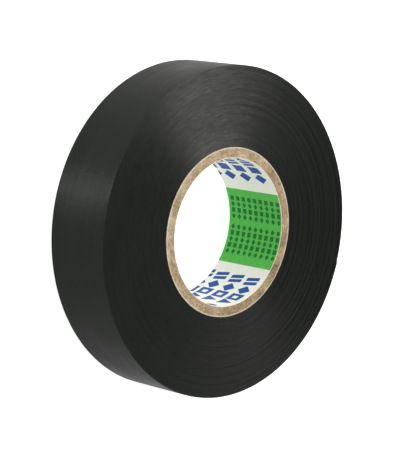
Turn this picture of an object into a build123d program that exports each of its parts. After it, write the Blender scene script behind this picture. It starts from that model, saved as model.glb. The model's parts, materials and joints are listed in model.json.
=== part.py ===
from build123d import *
import os
from math import degrees

os.makedirs("parts", exist_ok=True)

# Electrical tape roll lying on one of its side faces.  Millimetres, +Z along the roll's axis.
# The origin is where the axis meets the side face that the roll lies on.

# Driving dimensions
tape_width = 19.0
roll_radius = 42.0
bore_radius = 18.75

# Core: a printed liner, plies of kraft board and a light outer ply, each closed by a butt seam
liner_thickness = 0.12
board_ply_thickness = 0.446
board_ply_count = 5
outer_ply_thickness = 0.35
seam_gap = 0.1
liner_seam_angle = 144.0
board_seam_step = 137.5
outer_ply_seam_angle = -36.0

# Tape: PVC film with an adhesive coat on its inner side
film_thickness = 0.17
adhesive_thickness = 0.03

# Free end of the tape, hinged at its root, and its play against the turn below it
end_length = 14.0
end_root_angle = -30.0
end_clearance = 0.05

# The core's radii
board_radius = bore_radius + liner_thickness
outer_ply_radius = board_radius + board_ply_count * board_ply_thickness
core_radius = outer_ply_radius + outer_ply_thickness

# The winding, as degrees turned since the tape's start: its mean outer radius is the roll's
tape_pitch = film_thickness + adhesive_thickness
tape_turns = (roll_radius - core_radius) / tape_pitch - 0.5
tape_tip = 360 * tape_turns
end_root = tape_tip - degrees(end_length / roll_radius)
last_turn_start = end_root - 360
last_turn_end = end_root - degrees(end_clearance / roll_radius)
winding_plane = Plane.XY.rotated((0, 0, end_root_angle - end_root))


def butt_seamed_ring(inner_radius, thickness, seam_angle):
    """Sketch a ply of the core, seen along the roll's axis."""
    middle_radius = inner_radius + thickness / 2
    Circle(inner_radius + thickness)
    Circle(inner_radius, mode=Mode.SUBTRACT)
    with PolarLocations(middle_radius, 1, start_angle=seam_angle):
        Rectangle(2 * thickness, seam_gap, mode=Mode.SUBTRACT)


def wound_edge(height, start, stop):
    """Arcs of the wound tape, at this height above its inner face, from start to stop.

    Each half turn is half a circle, and the centres change sides, so that they join smoothly
    and every full turn is one pitch larger than the turn below it.
    """
    arcs = []
    while start < stop:
        half_turn = int(start // 180)
        arc_stop = min(180 * (half_turn + 1), stop)
        centre_shift = tape_pitch / 4 if half_turn % 2 else -tape_pitch / 4
        radius = core_radius + height + tape_pitch * (half_turn + 0.5) / 2
        arcs.append(
            CenterArc((centre_shift, 0), radius, start % 360, arc_stop - start, mode=Mode.PRIVATE)
        )
        start = arc_stop
    return arcs


def strip_outline(height, thickness, start, stop):
    """Draw the outline of a layer of the tape, seen along the roll's axis."""
    inner = wound_edge(height, start, stop)
    outer = wound_edge(height + thickness, start, stop)
    add(inner + outer)
    Line(inner[0] @ 0, outer[0] @ 0)
    Line(inner[-1] @ 1, outer[-1] @ 1)


# Core, from the bore outwards
with BuildPart() as core_liner:
    with BuildSketch():
        butt_seamed_ring(bore_radius, liner_thickness, liner_seam_angle)
    extrude(amount=tape_width)
core_liner.part.label = "core_liner"
export_step(core_liner.part, "parts/core_liner.step")

for ply_number in range(1, board_ply_count + 1):
    ply_radius = board_radius + (ply_number - 1) * board_ply_thickness
    with BuildPart() as core_ply:
        with BuildSketch():
            butt_seamed_ring(ply_radius, board_ply_thickness, ply_number * board_seam_step)
        extrude(amount=tape_width)
    core_ply.part.label = f"core_ply_{ply_number}"
    export_step(core_ply.part, f"parts/core_ply_{ply_number}.step")

with BuildPart() as core_outer_ply:
    with BuildSketch():
        butt_seamed_ring(outer_ply_radius, outer_ply_thickness, outer_ply_seam_angle)
    extrude(amount=tape_width)
core_outer_ply.part.label = "core_outer_ply"
export_step(core_outer_ply.part, "parts/core_outer_ply.step")

# The tape's turns below the last one, pressed into a block, with a step where the last one starts
with BuildPart() as wound_turns:
    with BuildSketch(winding_plane):
        with BuildLine():
            block_edge = wound_edge(tape_pitch, last_turn_start - 360, last_turn_start)
            add(block_edge)
            Line(block_edge[-1] @ 1, block_edge[0] @ 0)
        make_face()
        Circle(core_radius, mode=Mode.SUBTRACT)
    extrude(amount=tape_width)
wound_turns.part.label = "wound_turns"
export_step(wound_turns.part, "parts/wound_turns.step")

# The last turn that is stuck down
with BuildPart() as last_turn_adhesive:
    with BuildSketch(winding_plane):
        with BuildLine():
            strip_outline(0, adhesive_thickness, last_turn_start, last_turn_end)
        make_face()
    extrude(amount=tape_width)
last_turn_adhesive.part.label = "last_turn_adhesive"
export_step(last_turn_adhesive.part, "parts/last_turn_adhesive.step")

with BuildPart() as last_turn_film:
    with BuildSketch(winding_plane):
        with BuildLine():
            strip_outline(adhesive_thickness, film_thickness, last_turn_start, last_turn_end)
        make_face()
    extrude(amount=tape_width)
last_turn_film.part.label = "last_turn_film"
export_step(last_turn_film.part, "parts/last_turn_film.step")

# The free end, which is hinged at the outer corner of its root
with BuildPart() as end_adhesive:
    with BuildSketch(winding_plane):
        with BuildLine():
            strip_outline(end_clearance, adhesive_thickness, end_root, tape_tip)
        make_face()
    extrude(amount=tape_width)
end_adhesive.part.label = "end_adhesive"
export_step(end_adhesive.part, "parts/end_adhesive.step")

with BuildPart() as end_film:
    with BuildSketch(winding_plane):
        with BuildLine():
            strip_outline(end_clearance + adhesive_thickness, film_thickness, end_root, tape_tip)
        make_face()
    extrude(amount=tape_width)
end_film.part.label = "end_film"
export_step(end_film.part, "parts/end_film.step")

hinge_corner = end_film.vertices().sort_by(Axis.Y)[0]
print(f"hinge at X {hinge_corner.X:.4f}, Y {hinge_corner.Y:.4f}")
print(f"{tape_turns:.2f} turns of tape")
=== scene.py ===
import json
import math

import bpy
import numpy as np
from mathutils import Matrix, Vector


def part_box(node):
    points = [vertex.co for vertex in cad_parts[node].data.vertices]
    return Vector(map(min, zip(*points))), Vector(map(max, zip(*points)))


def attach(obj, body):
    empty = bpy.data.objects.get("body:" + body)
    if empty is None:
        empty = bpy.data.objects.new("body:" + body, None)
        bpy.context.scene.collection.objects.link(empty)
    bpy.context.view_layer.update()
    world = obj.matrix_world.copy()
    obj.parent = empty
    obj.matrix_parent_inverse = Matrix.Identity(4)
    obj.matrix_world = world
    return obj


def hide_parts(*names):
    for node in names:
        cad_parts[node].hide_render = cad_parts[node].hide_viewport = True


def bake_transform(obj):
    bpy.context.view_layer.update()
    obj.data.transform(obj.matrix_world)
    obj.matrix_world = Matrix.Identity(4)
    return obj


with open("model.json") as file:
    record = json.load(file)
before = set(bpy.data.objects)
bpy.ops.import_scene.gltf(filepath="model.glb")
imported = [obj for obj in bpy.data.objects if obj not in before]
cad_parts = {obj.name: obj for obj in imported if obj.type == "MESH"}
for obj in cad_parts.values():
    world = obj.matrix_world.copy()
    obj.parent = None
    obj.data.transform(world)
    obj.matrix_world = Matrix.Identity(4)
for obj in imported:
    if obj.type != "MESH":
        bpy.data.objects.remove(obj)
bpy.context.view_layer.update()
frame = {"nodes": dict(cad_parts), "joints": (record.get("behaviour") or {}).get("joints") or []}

# Electrical tape roll lying on a side face: a paper core with a printed liner, black vinyl
# tape wound on it as one long spiral, and a free end whose tip stands a little off.  Metres, +Z up the
# axis.

MM = 0.001
FULL_TURN = 2 * math.pi

# Tape: the film lies on its adhesive
FILM = 0.17 * MM
ADHESIVE = 0.03 * MM
PITCH = FILM + ADHESIVE
FILM_BEVEL = 0.014 * MM
ADHESIVE_RECESS = 0.035 * MM
END_PLAY = 0.05 * MM

# Steps in each turn of the tape, and rows of faces up its outer face
TURN_STEPS = 120
LAST_TURN_STEPS = 480
END_STEPS = 1400
FACE_ROWS = 14

# Core
SEAM_GAP = 0.1 * MM
LINER_SEAM = math.radians(144)
PLY_SEAM_STEP = math.radians(137.5)
OUTER_PLY_SEAM = math.radians(-36)
PLY_COUNT = 5
LINER_STEPS = 361
PLY_STEPS = 480

# Print on the liner, as angles from +X.  It repeats every half turn.
INK = 0.006 * MM
REPEATS = 2
BAND_START = math.radians(-31.5)
BAND_SWEEP = math.radians(62.1)
INK_STEP = 0.5 * MM

RANDOM = np.random.default_rng(19)


# ---------------------------------------------------------------- sizes from the frame

def radii(node):
    """Smallest and largest distance of a CAD node from the roll's axis."""
    points = np.array([v.co for v in frame["nodes"][node].data.vertices])
    distance = np.hypot(points[:, 0], points[:, 1])
    return distance.min(), distance.max()


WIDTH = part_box("wound_turns")[1].z
BORE, LINER_OUTSIDE = radii("core_liner")
CORE = radii("wound_turns")[0]
HINGE = Vector(frame["joints"][0]["pos_m"])
ROOT_ANGLE = math.atan2(HINGE.y, HINGE.x)
ROOT_TURNS = (math.hypot(HINGE.x, HINGE.y) - END_PLAY - CORE) / PITCH - 1
LAST_TURN = ROOT_TURNS - 1
END_TURNS = (math.atan2(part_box("end_film")[1].y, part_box("end_film")[1].x) - ROOT_ANGLE) / FULL_TURN


# ---------------------------------------------------------------- meshes

SHARP_ANGLE = math.radians(20)


def make_piece(name, points, faces, material):
    mesh = bpy.data.meshes.new(name)
    mesh.from_pydata(points, [], faces)
    mesh.materials.append(material)
    mesh.shade_smooth()
    mesh.set_sharp_from_angle(angle=SHARP_ANGLE)
    piece = bpy.data.objects.new(name, mesh)
    bpy.context.scene.collection.objects.link(piece)
    return piece


def section(thickness, bevel, face_rows, edge_rows):
    """Round a strip's cross-section: up its inner face, out over its upper edge, and back.

    Gives each corner's place across the thickness, its share of the strip's width, and what
    is added to that.
    """
    up = np.linspace(0, 1, face_rows + 1)
    out = np.linspace(0, 1, edge_rows + 1)
    if not bevel:
        up, out = up[:-1], out[:-1]
    edge = bevel + out * (thickness - 2 * bevel)
    across = np.concatenate([0 * up, edge, 0 * up + thickness, thickness - edge])
    share = np.concatenate([up, 0 * out + 1, 1 - up, 0 * out])
    extra = np.concatenate([bevel * (1 - 2 * up), 0 * out, bevel * (2 * up - 1), 0 * out])
    return across, share, extra


def strip_mesh(angles, radius, thickness, width, bottom=0.0, bevel=0.0, face_rows=1,
               edge_rows=1, relief=None):
    """Points and faces of a closed strip standing on edge round the roll's axis.

    radius is the inner face's.  relief(angle, across, height) gives how far each point moves
    outwards and upwards.
    """
    across, share, extra = section(thickness, bevel, face_rows, edge_rows)
    column = (len(angles), 1)
    angle = np.reshape(angles, column) + 0 * across
    distance = np.broadcast_to(np.reshape(radius, (-1, 1)), column) + across
    height = np.reshape(width, (-1, 1)) * share + extra + 0 * angle
    rise = np.reshape(bottom, (-1, 1)) + height
    if relief:
        outwards, upwards = relief(angle, across + 0 * angle, height)
        distance = distance + outwards
        rise = rise + upwards
    points = np.stack([distance * np.cos(angle), distance * np.sin(angle), rise], axis=-1)
    stations, corners = angle.shape
    first = np.arange((stations - 1) * corners).reshape(stations - 1, corners)
    second = np.roll(first, -1, axis=1)
    quads = np.stack([first, second, second + corners, first + corners], axis=-1)
    faces = quads.reshape(-1, 4).tolist()
    faces.append(list(range(corners))[::-1])
    faces.append(list(range((stations - 1) * corners, stations * corners)))
    return points.reshape(-1, 3), faces


def strip(name, material, *args, **settings):
    return make_piece(name, *strip_mesh(*args, **settings), material)


def joined(parts):
    """Several lots of points and faces as one."""
    points, faces, count = [], [], 0
    for part_points, part_faces in parts:
        points.append(part_points)
        faces += [[count + corner for corner in face] for face in part_faces]
        count += len(part_points)
    return np.concatenate(points), faces


MOST_WAVES_IN_LONGEST = 6
LOWEST_WAVE = 0.3


def waves(count, longest, height):
    """A smooth random function of one number, of about this longest wave and this height."""
    lengths = longest / RANDOM.uniform(1, MOST_WAVES_IN_LONGEST, count)
    phases = RANDOM.uniform(0, FULL_TURN, count)
    heights = height * RANDOM.uniform(LOWEST_WAVE, 1, count) / math.sqrt(count)

    def value(x):
        total = 0 * x
        for length, phase, size in zip(lengths, phases, heights):
            total = total + size * np.sin(FULL_TURN * x / length + phase)
        return total

    return value


# ---------------------------------------------------------------- materials

ACROSS_THE_TANGENT = 0.25
NOISE_ROUGHNESS = 0.55
NOISE_LOW, NOISE_HIGH = 0.3, 0.7


class Shading:
    """A material under construction: one Principled shader and what feeds it."""

    def __init__(self, name, roughness, gloss, anisotropy=0.0):
        self.material = bpy.data.materials.new(name)
        self.material.use_nodes = True
        self.tree = self.material.node_tree
        self.shader = self.tree.nodes["Principled BSDF"]
        self.shader.inputs["Roughness"].default_value = roughness
        self.shader.inputs["Specular IOR Level"].default_value = gloss
        if anisotropy:
            tangent = self.add("ShaderNodeTangent", direction_type="RADIAL", axis="Z")
            self.tree.links.new(tangent.outputs[0], self.shader.inputs["Tangent"])
            self.shader.inputs["Anisotropic"].default_value = anisotropy
            self.shader.inputs["Anisotropic Rotation"].default_value = ACROSS_THE_TANGENT
        self.place = self.add("ShaderNodeTexCoord").outputs["Object"]

    def add(self, kind, inputs=(), **settings):
        node = self.tree.nodes.new(kind)
        for key, value in settings.items():
            setattr(node, key, value)
        for key, value in dict(inputs).items():
            if isinstance(value, bpy.types.NodeSocket):
                self.tree.links.new(value, node.inputs[key])
            else:
                node.inputs[key].default_value = value
        return node

    def math(self, operation, a, b=0.0):
        return self.add("ShaderNodeMath", {0: a, 1: b}, operation=operation).outputs[0]

    def blend(self, *parts):
        """Sum of (value, weight) pairs."""
        total = self.math("MULTIPLY", *parts[0])
        for part in parts[1:]:
            total = self.math("ADD", total, self.math("MULTIPLY", *part))
        return total

    def wound(self, along, across=0, up=0):
        """Coordinates that follow the winding, with a scale along it, across it and upwards."""
        x, y, z = self.add("ShaderNodeSeparateXYZ", {0: self.place}).outputs
        radius = self.math("SQRT", self.blend((x, x), (y, y)))
        turned_x, turned_y = [self.math("MULTIPLY", self.math("DIVIDE", side, radius), along)
                              for side in (x, y)]
        depth = self.blend((radius, across), (z, up))
        return self.add("ShaderNodeCombineXYZ", {0: turned_x, 1: turned_y, 2: depth}).outputs[0]

    def noise(self, vector, scale=1.0, detail=4.0):
        inputs = {"Vector": vector, "Scale": scale, "Detail": detail,
                  "Roughness": NOISE_ROUGHNESS}
        return self.add("ShaderNodeTexNoise", inputs).outputs["Fac"]

    def near(self, centre, reach):
        """1 at a point of the object, falling to 0 this far from it."""
        gap = self.add("ShaderNodeVectorMath", {0: self.place, 1: centre}, operation="DISTANCE")
        inputs = {"Value": gap.outputs["Value"], "From Min": reach, "From Max": 0}
        return self.add("ShaderNodeMapRange", inputs).outputs["Result"]

    def colour(self, value, *stops):
        """The base colour, from a value: each stop is (position, colour)."""
        node = self.add("ShaderNodeValToRGB", {"Fac": value})
        elements = node.color_ramp.elements
        while len(elements) < len(stops):
            elements.new(0.5)
        for element, (position, colour) in zip(elements, stops):
            element.position = position
            element.color = (*colour, 1)
        self.tree.links.new(node.outputs["Color"], self.shader.inputs["Base Color"])

    def roughness(self, value, low, high):
        inputs = {"Value": value, "From Min": NOISE_LOW, "From Max": NOISE_HIGH,
                  "To Min": low, "To Max": high}
        result = self.add("ShaderNodeMapRange", inputs).outputs["Result"]
        self.tree.links.new(result, self.shader.inputs["Roughness"])

    def bump(self, height, strength, distance):
        inputs = {"Height": height, "Strength": strength, "Distance": distance}
        normal = self.add("ShaderNodeBump", inputs).outputs["Normal"]
        self.tree.links.new(normal, self.shader.inputs["Normal"])


EDGE_BLACK = (0.0060, 0.0082, 0.0062)
EDGE_WORN = (0.0126, 0.0158, 0.0124)
FACE_BLACK = (0.0016, 0.0023, 0.0016)
FACE_WORN = (0.0044, 0.0058, 0.0044)
SCUFF = (0.045, 0.043, 0.039)
SCUFF_PLACE = Vector((-12.0, 40.0, 10.5)) * MM
SCUFF_REACH = 17 * MM
SCUFF_THRESHOLD = 0.38


def vinyl_edge_material():
    """The slit edges of the turns: satin black with fine grooves that follow the winding."""
    m = Shading("vinyl_slit_edge", roughness=0.42, gloss=0.25, anisotropy=0.8)
    grooves = m.noise(m.wound(along=2.2, across=5200), detail=3)
    cloud = m.noise(m.wound(along=2, across=150))
    burrs = m.noise(m.wound(along=13, across=1700), detail=3)
    shade = m.blend((grooves, 0.3), (cloud, 0.3), (burrs, 0.4))
    m.colour(shade, (0.38, EDGE_BLACK), (0.62, EDGE_WORN))
    m.roughness(m.blend((cloud, 0.4), (burrs, 0.6)), low=0.26, high=0.54)
    m.bump(m.blend((grooves, 0.3), (burrs, 0.7)), strength=0.5, distance=0.03 * MM)
    return m.material


def vinyl_face_material():
    """The film's outer face: satin PVC with a very fine grain, and a few scuffs in one place."""
    m = Shading("vinyl_film_face", roughness=0.40, gloss=0.088, anisotropy=0.85)
    grain = m.noise(m.place, scale=1900)
    streaks = m.noise(m.wound(along=1.6, up=900), detail=3)
    cloud = m.noise(m.place, scale=90)
    shade = m.blend((streaks, 0.3), (cloud, 0.35), (grain, 0.35))
    scratches = m.noise(m.wound(along=11, up=3000))
    rubbed = m.math("MULTIPLY", m.near(SCUFF_PLACE, SCUFF_REACH), scratches)
    scuffs = m.math("MAXIMUM", m.math("SUBTRACT", rubbed, SCUFF_THRESHOLD))
    m.colour(m.blend((shade, 1), (scuffs, 2)),
             (0.38, FACE_BLACK), (0.62, FACE_WORN), (0.9, SCUFF))
    m.roughness(shade, low=0.28, high=0.48)
    m.bump(grain, strength=0.5, distance=0.04 * MM)
    return m.material


def adhesive_material():
    m = Shading("rubber_adhesive", roughness=0.6, gloss=0.3)
    lumps = m.noise(m.place, scale=2500, detail=3)
    m.colour(lumps, (0.3, (0.004, 0.004, 0.004)), (0.7, (0.010, 0.010, 0.010)))
    m.roughness(lumps, low=0.5, high=0.7)
    m.bump(lumps, strength=0.3, distance=0.02 * MM)
    return m.material


def board_material(name, dark, middle, pale):
    """Core board: fibres that lie round the core, speckles, soft patches, and painted shade on one
    side.
    """
    m = Shading(name, roughness=0.85, gloss=0.2)
    fibres = m.noise(m.wound(along=26, across=3000, up=1200))
    speckle = m.noise(m.place, scale=2600, detail=3)
    patches = m.noise(m.wound(along=5, across=300, up=60), detail=3)
    side = m.add("ShaderNodeSeparateXYZ", {0: m.place}).outputs
    # The X and Y terms are painted shade: the board darkens towards +X and pales towards +Y.
    shade = m.blend((fibres, 0.45), (speckle, 0.2), (patches, 0.35),
                    (side["X"], -1.3), (side["Y"], 0.6))
    m.colour(shade, (0.36, dark), (0.50, middle), (0.64, pale))
    m.roughness(speckle, low=0.78, high=0.95)
    m.bump(m.blend((fibres, 1), (speckle, 1)), strength=0.55, distance=0.05 * MM)
    return m.material


PAPER_ROUGHNESS = 0.45
ROUGHNESS_CHANGE = 0.06


def paper_material(name, colour, change, gloss):
    """Coated paper, or ink on it: nearly even, with faint mottling and paper fibres."""
    m = Shading(name, PAPER_ROUGHNESS, gloss)
    mottle = m.noise(m.place, scale=700)
    fibres = m.noise(m.wound(along=60, up=2400), detail=3)
    m.colour(m.blend((mottle, 0.6), (fibres, 0.4)),
             (0.34, [c * (1 - change) for c in colour]),
             (0.66, [c * (1 + change) for c in colour]))
    m.roughness(mottle, PAPER_ROUGHNESS - ROUGHNESS_CHANGE, PAPER_ROUGHNESS + ROUGHNESS_CHANGE)
    m.bump(fibres, strength=0.12, distance=0.02 * MM)
    return m.material


VINYL_EDGE = vinyl_edge_material()
VINYL_FACE = vinyl_face_material()
RUBBER = adhesive_material()
BOARD = board_material("kraft_board", dark=(0.175, 0.110, 0.052),
                       middle=(0.430, 0.308, 0.180), pale=(0.700, 0.565, 0.405))
OUTER_PAPER = board_material("outer_ply_paper", dark=(0.45, 0.39, 0.29),
                             middle=(0.60, 0.53, 0.42), pale=(0.74, 0.68, 0.56))
LINER_PAPER = paper_material("liner_paper", (0.96, 0.92, 0.85), change=0.03, gloss=0.3)
GREEN_INK = paper_material("green_ink", (0.092, 0.52, 0.072), change=0.10, gloss=0.2)
DARK_INK = paper_material("dark_green_ink", (0.008, 0.180, 0.022), change=0.15, gloss=0.15)
BLUE_INK = paper_material("blue_ink", (0.010, 0.075, 0.360), change=0.15, gloss=0.15)


# ---------------------------------------------------------------- tape

# Rings of the side faces that lie a little lower than the rest: radius and depth
LOW_RINGS = ((24.6 * MM, 0.02 * MM), (28.9 * MM, 0.03 * MM), (33.2 * MM, 0.03 * MM),
             (34.3 * MM, 0.04 * MM), (38.6 * MM, 0.015 * MM))
LOW_RING_WIDTH = 0.25 * MM

# Streaks on the side faces: waves round a turn, and the turns that one wave across them takes
MOST_ROUND_WAVES = 5
SHORTEST_STREAK, LONGEST_STREAK = 2.2, 12


def streaks(count, height):
    """A random function of the number of turns whose waves run on from turn to turn."""
    round_waves = RANDOM.integers(0, MOST_ROUND_WAVES, count)
    across_waves = (1 / RANDOM.uniform(SHORTEST_STREAK, LONGEST_STREAK, count)
                    * RANDOM.choice((-1, 1), count))
    phases = RANDOM.uniform(0, FULL_TURN, count)
    size = height / math.sqrt(count)

    def value(turns):
        return sum(size * np.sin(FULL_TURN * (a + b) * turns + c)
                   for a, b, c in zip(round_waves, across_waves, phases))

    return value


def knots(spacing, height):
    """A random function of the number of turns: straight lines between random values."""
    places = np.arange(-1, ROOT_TURNS + 3, spacing)
    values = RANDOM.uniform(0, height, len(places))
    return lambda turns: np.interp(turns, places, values)


# The upper and lower edges of the turns: how far they lie inside the side faces, and how
# much lower their outer corners are than their inner ones, as a slope
EDGE_SHIFTS = [(knots(spacing=0.9, height=0.006 * MM), streaks(count=12, height=0.004 * MM))
               for side in range(2)]
EDGE_SLOPES = [(knots(spacing=0.15, height=0.16), streaks(count=40, height=0.07))
               for side in range(2)]
EDGE_SLOPE = 0.26


def edge_depth(side, turns):
    rings = sum(depth * np.exp(-((CORE + PITCH * turns - radius) / LOW_RING_WIDTH) ** 2)
                for radius, depth in LOW_RINGS)
    return np.maximum(0, rings + sum(part(turns) for part in EDGE_SHIFTS[side]))


def edge_slope(side, turns):
    return EDGE_SLOPE + sum(part(turns) for part in EDGE_SLOPES[side])


FACE_WAVES = waves(count=7, longest=math.radians(40), height=0.010 * MM)
FACE_SLANTED_WAVES = waves(count=5, longest=14 * MM, height=0.006 * MM)
FACE_SHORT_WAVES = waves(count=8, longest=math.radians(7), height=0.002 * MM)
WAVE_SLANT = 4 * MM
ROLLED_EDGE_DEPTH = 0.02 * MM
ROLLED_EDGE_WIDTH = 0.25 * MM


def face_ripple(angle, height):
    """The tape's outer face isn't quite round, and its edges are rolled a little."""
    from_edge = np.minimum(height, WIDTH - height)
    rolled = ROLLED_EDGE_DEPTH * np.exp(-(from_edge / ROLLED_EDGE_WIDTH) ** 2)
    slanted = FACE_SLANTED_WAVES(height + WAVE_SLANT * angle)
    return FACE_WAVES(angle) + slanted + FACE_SHORT_WAVES(angle) - rolled


def tape_strip(name, material, start, stop, steps, layer, thickness, rippled=False, recess=0.0,
               lift=None, **settings):
    """A layer of the tape between two numbers of turns, layer above the turn's inner face."""
    turns = np.append(np.arange(start, stop - 0.5 / steps, 1 / steps), stop)
    depths = [edge_depth(side, turns)[:, None] + recess for side in range(2)]
    slopes = [edge_slope(side, turns)[:, None] for side in range(2)]

    def relief(angle, across, height):
        share = height / WIDTH
        lower, upper = [depth + slope * across for depth, slope in zip(depths, slopes)]
        outwards = 0 * angle
        if rippled:
            outwards = face_ripple(angle, height) * across / thickness
        if lift:
            outwards = outwards + lift((turns[:, None] - ROOT_TURNS) / END_TURNS, share)
        return outwards, lower * (1 - share) - upper * share

    angles = ROOT_ANGLE + FULL_TURN * (turns - ROOT_TURNS)
    radius = CORE + PITCH * turns + layer
    return strip(name, material, angles, radius, thickness, WIDTH, relief=relief, **settings)


LIFT_START = 0.62
LOWER_LIFT = 0.02 * MM
UPPER_LIFT = 0.05 * MM


def end_lift(place, share):
    """The free end's last few millimetres stand a little off the turn below.

    place runs from 0 at the root to 1 at the tip, and share from the lower edge to the upper.
    """
    late = np.clip((place - LIFT_START) / (1 - LIFT_START), 0, 1)
    return late ** 2 * (LOWER_LIFT + (UPPER_LIFT - LOWER_LIFT) * share)


EDGE_FACING = 0.8


def slit_edges(piece):
    """Give the film's upper and lower edges their own finish where its face has another."""
    mesh = piece.data
    if mesh.materials[0] != VINYL_FACE:
        return
    mesh.materials.append(VINYL_EDGE)
    for face in mesh.polygons:
        face.material_index = int(abs(face.normal.z) > EDGE_FACING)


# Share of the turns that are in film_inner_turns
INNER_SHARE = 0.55


def build_tape():
    split = math.floor(LAST_TURN * INNER_SHARE)
    film = {"layer": ADHESIVE, "thickness": FILM, "bevel": FILM_BEVEL}
    glue = {"layer": 0.0, "thickness": ADHESIVE, "recess": ADHESIVE_RECESS}
    face = {"face_rows": FACE_ROWS, "rippled": True}
    wound = [
        (tape_strip("film_inner_turns", VINYL_EDGE, 0, split, TURN_STEPS, **film),
         "black_vinyl", "wound_turns"),
        (tape_strip("film_outer_turns", VINYL_EDGE, split, LAST_TURN, TURN_STEPS, **film),
         "black_vinyl", "wound_turns"),
        (tape_strip("adhesive_turns", RUBBER, 0, LAST_TURN, TURN_STEPS, **glue),
         "adhesive", "wound_turns"),
        (tape_strip("film_last_turn", VINYL_FACE, LAST_TURN, ROOT_TURNS, LAST_TURN_STEPS,
                    **film, **face), "black_vinyl", "last_turn_film"),
        (tape_strip("adhesive_last_turn", RUBBER, LAST_TURN, ROOT_TURNS, LAST_TURN_STEPS,
                    **glue), "adhesive", "last_turn_adhesive"),
    ]
    for piece, slot, node in wound:
        slit_edges(piece)
        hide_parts(node)
        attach(piece, "roll")

    tip_turns = ROOT_TURNS + END_TURNS
    free = [
        (tape_strip("film_free_end", VINYL_FACE, ROOT_TURNS, tip_turns, END_STEPS,
                    lift=end_lift, **film, **face), "black_vinyl", "end_film"),
        (tape_strip("adhesive_free_end", RUBBER, ROOT_TURNS, tip_turns, END_STEPS,
                    lift=end_lift, **glue), "adhesive", "end_adhesive"),
    ]
    for piece, slot, node in free:
        slit_edges(piece)
        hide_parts(node)
        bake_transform(piece)


# ---------------------------------------------------------------- core

def seamed_angles(seam, radius, steps):
    """All round from one side of a butt seam to its other side."""
    half_gap = SEAM_GAP / 2 / radius
    return np.linspace(seam + half_gap, seam + FULL_TURN - half_gap, steps)


def smoothed(values, count):
    """Average along the first direction, which closes on itself."""
    return sum(np.roll(values, shift, axis=0) for shift in range(count)) / count


EDGE_SHARPNESS = 40


def cut_board(depth, reach):
    """A relief for a cut edge: torn fibres this deep, each some steps long."""
    def relief(angle, across, height):
        torn = depth * smoothed(RANDOM.uniform(0, 1, angle.shape), reach)
        share = height / WIDTH
        on_edge = np.abs(2 * share - 1) ** EDGE_SHARPNESS
        return 0 * angle, on_edge * torn * (1 - 2 * share)
    return relief


def build_core():
    pieces = []
    angles = seamed_angles(LINER_SEAM, BORE, LINER_STEPS)
    pieces.append((strip("liner", LINER_PAPER, angles, BORE, LINER_OUTSIDE - BORE, WIDTH,
                         bevel=0.01 * MM), "printed_liner", "core_liner"))
    for number in range(1, PLY_COUNT + 1):
        node = f"core_ply_{number}"
        inside, outside = radii(node)
        angles = seamed_angles(number * PLY_SEAM_STEP, inside, PLY_STEPS)
        pieces.append((strip(f"board_ply_{number}", BOARD, angles, inside, outside - inside,
                             WIDTH, bevel=0.02 * MM, edge_rows=5,
                             relief=cut_board(depth=0.06 * MM, reach=3)),
                       "kraft_board", node))
    inside, outside = radii("core_outer_ply")
    angles = seamed_angles(OUTER_PLY_SEAM, inside, PLY_STEPS)
    pieces.append((strip("outer_ply", OUTER_PAPER, angles, inside, outside - inside, WIDTH,
                         bevel=0.015 * MM, edge_rows=2,
                         relief=cut_board(depth=0.03 * MM, reach=4)),
                   "outer_ply_paper", "core_outer_ply"))
    for piece, slot, node in pieces:
        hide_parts(node)
        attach(piece, "roll")


# ---------------------------------------------------------------- print on the liner

# Plain marks, as columns: place along the mark, its lower side and its upper side, from 0 to 1
ARC = np.radians(np.linspace(8, 172, 15))
DIAMOND = [((0, 0.5, 1), (0.46, 0, 0.46), (0.54, 1, 0.54))]
TRIANGLE = [((0, 0.5, 1), (0, 0, 0), (0.10, 1, 0.10))]
SQUARE = [((0.06, 0.94), (0.06, 0.06), (0.94, 0.94))]
DISC = [((1 - np.cos(ARC)) / 2, (1 - np.sin(ARC)) / 2, (1 + np.sin(ARC)) / 2)]
BOW = [((0, 0.5, 1), (0, 0.44, 0), (1, 0.56, 1))]
BARS = [((0, 0.2, 0.33, 0.53), (0, 0, 0, 0.96), (0.04, 1, 1, 1)),
        ((0.47, 0.67, 0.8, 1), (0, 0, 0, 0.96), (0.04, 1, 1, 1))]
FRAME = [((0, 0.3), (0, 0), (1, 1)), ((0.7, 1), (0, 0), (1, 1)),
         ((0.3, 0.7), (0, 0), (0.3, 0.3)), ((0.3, 0.7), (0.7, 0.7), (1, 1))]
LARGE_GROUPS = ((BARS, DIAMOND, FRAME, TRIANGLE), (DISC, BOW, BARS, SQUARE, DIAMOND))
SMALL_GROUPS = ((SQUARE, DIAMOND, SQUARE, DIAMOND), (DIAMOND, SQUARE, DIAMOND, SQUARE, DIAMOND))

LARGE_STARTS = (math.radians(-40), math.radians(-88.5))
LARGE_PITCH = math.radians(-10.4)
LARGE_SIZE = (3.15 * MM, 4.15 * MM)
LARGE_HEIGHTS = (15.4 * MM, 9.85 * MM, 4.3 * MM, -0.85 * MM)
SMALL_STARTS = (math.radians(24), math.radians(0.5))
SMALL_PITCH = math.radians(-5.0)
SMALL_SIZE = (1.45 * MM, 1.40 * MM)
SMALL_ROWS = 9
SMALL_TOP = 18.06 * MM
SMALL_ROW_PITCH = 2.06 * MM
RIM_MARGIN = 0.03 * MM


def ink_patch(start, stop, low, high, key_places, thickness):
    """A patch of ink on the liner between two angles, under and over two lists of heights."""
    count = max(2, math.ceil((stop - start) * BORE / INK_STEP) + 1)
    places = np.union1d(np.linspace(key_places[0], key_places[-1], count), key_places)
    lower = np.clip(np.interp(places, key_places, low), RIM_MARGIN, WIDTH - RIM_MARGIN)
    upper = np.clip(np.interp(places, key_places, high), RIM_MARGIN, WIDTH - RIM_MARGIN)
    angles = start + (stop - start) * places
    return strip_mesh(angles, BORE - thickness, thickness, upper - lower, bottom=lower)


def mark_patches(mark, start, size, bottom, thickness):
    sweep = size[0] / BORE
    return [ink_patch(start, start + sweep, bottom + size[1] * np.array(low),
                      bottom + size[1] * np.array(high), places, thickness)
            for places, low, high in mark]


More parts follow.
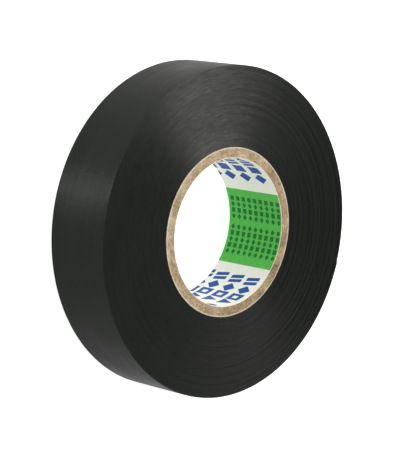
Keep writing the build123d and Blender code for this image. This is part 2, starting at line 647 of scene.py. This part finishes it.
def build_print():
    bands, small, large = [], [], []
    for repeat in range(REPEATS):
        turned = repeat * FULL_TURN / REPEATS
        start = turned + BAND_START
        bands.append(ink_patch(start, start + BAND_SWEEP, (0, 0), (WIDTH, WIDTH), (0, 1), INK))
        for group_start, group in zip(SMALL_STARTS, SMALL_GROUPS):
            for row in range(SMALL_ROWS):
                bottom = SMALL_TOP - row * SMALL_ROW_PITCH - SMALL_SIZE[1] / 2
                for number, mark in enumerate(group):
                    small += mark_patches(mark, turned + group_start + number * SMALL_PITCH
                                          - SMALL_SIZE[0] / BORE, SMALL_SIZE, bottom, 2 * INK)
        for group_start, group in zip(LARGE_STARTS, LARGE_GROUPS):
            for middle in LARGE_HEIGHTS:
                bottom = middle - LARGE_SIZE[1] / 2
                if bottom + LARGE_SIZE[1] < RIM_MARGIN:
                    continue
                for number, mark in enumerate(group):
                    large += mark_patches(mark, turned + group_start + number * LARGE_PITCH
                                          - LARGE_SIZE[0] / BORE, LARGE_SIZE, bottom, INK)
    for name, patches, material in (("green_bands", bands, GREEN_INK),
                                    ("dark_green_marks", small, DARK_INK),
                                    ("blue_marks", large, BLUE_INK)):
        piece = make_piece(name, *joined(patches), material)
        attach(piece, "roll")


build_tape()
build_core()
build_print()


# ---------------------------------------------------------------- stage, light and camera

FLOOR_SIZE = 4.0
FLOOR_GLOW = 0.75
CAMERA_AIM = Vector((-5.275, 0.339, 13.803)) * MM
CAMERA_DISTANCE = 515.5 * MM
CAMERA_AZIMUTH = math.radians(172.59)
CAMERA_ELEVATION = math.radians(45.42)
CAMERA_ROLL = math.radians(-100.35)
CAMERA_LENS = 162.3
SENSOR = 36
NEAREST, FARTHEST = 0.01, 20
LIGHT_DISTANCE = 0.9
WARM_WHITE = (1, 0.99, 0.96)

# The surroundings' brightness up to one height and from another, as parts of a unit sphere
LOW_SKY_TOP, LOW_SKY = 0.17, 0.95
HIGH_SKY_START, HIGH_SKY = 0.6, 0.45


def toward(azimuth, elevation):
    """Unit vector at this azimuth from +X and this height above the floor, in radians."""
    flat = math.cos(elevation)
    return Vector((flat * math.cos(azimuth), flat * math.sin(azimuth), math.sin(elevation)))


def build_camera():
    data = bpy.data.cameras.new("camera")
    data.lens = CAMERA_LENS
    data.sensor_width = SENSOR
    data.clip_start = NEAREST
    data.clip_end = FARTHEST
    camera = bpy.data.objects.new("camera", data)
    bpy.context.scene.collection.objects.link(camera)
    bpy.context.scene.camera = camera
    back = toward(CAMERA_AZIMUTH, CAMERA_ELEVATION)
    level_up = (Vector((0, 0, 1)) - back * back.z).normalized()
    level_right = level_up.cross(back)
    up = level_up * math.cos(CAMERA_ROLL) + level_right * math.sin(CAMERA_ROLL)
    right = up.cross(back)
    turn = Matrix((right, up, back)).transposed().to_4x4()
    camera.matrix_world = Matrix.Translation(CAMERA_AIM + back * CAMERA_DISTANCE) @ turn


def build_floor():
    corners = [(x * FLOOR_SIZE, y * FLOOR_SIZE, 0)
               for x, y in ((-1, -1), (1, -1), (1, 1), (-1, 1))]
    m = Shading("pale_floor", roughness=0.9, gloss=0.1)
    m.colour(m.noise(m.place, scale=3), (0.3, (0.80, 0.80, 0.79)), (0.7, (0.83, 0.83, 0.82)))
    m.shader.inputs["Emission Color"].default_value = (1, 1, 1, 1)
    m.shader.inputs["Emission Strength"].default_value = FLOOR_GLOW
    floor = make_piece("floor", corners, [(0, 1, 2, 3)], m.material)


def soft_light(name, direction, size, power):
    """A rectangular light that faces the roll's upper side from this direction."""
    data = bpy.data.lights.new(name, "AREA")
    data.shape = "RECTANGLE"
    data.size, data.size_y = size
    data.energy = power
    data.color = WARM_WHITE
    light = bpy.data.objects.new(name, data)
    bpy.context.scene.collection.objects.link(light)
    direction = Vector(direction).normalized()
    light.location = direction * LIGHT_DISTANCE + Vector((0, 0, WIDTH))
    light.rotation_mode = "QUATERNION"
    light.rotation_quaternion = direction.to_track_quat("Z", "Y")


def build_world():
    """Bright near the horizon and dimmer overhead."""
    world = bpy.data.worlds.new("studio")
    bpy.context.scene.world = world
    world.use_nodes = True
    tree = world.node_tree
    place = tree.nodes.new("ShaderNodeTexCoord")
    split = tree.nodes.new("ShaderNodeSeparateXYZ")
    ramp = tree.nodes.new("ShaderNodeValToRGB")
    tree.links.new(place.outputs["Generated"], split.inputs[0])
    tree.links.new(split.outputs[2], ramp.inputs[0])
    tree.links.new(ramp.outputs[0], tree.nodes["Background"].inputs[0])
    stops = ((LOW_SKY_TOP, LOW_SKY), (HIGH_SKY_START, HIGH_SKY))
    for element, (height, brightness) in zip(ramp.color_ramp.elements, stops):
        element.position = height
        element.color = (brightness, brightness, brightness, 1)


build_floor()
build_world()
soft_light("key", direction=(0.42, 0.56, 0.72), size=(0.9, 0.4), power=6.5)
soft_light("side_fill", direction=(-0.95, 0.29, -0.010), size=(0.16, 0.018), power=15)
build_camera()
bpy.context.scene.view_settings.view_transform = "Standard"
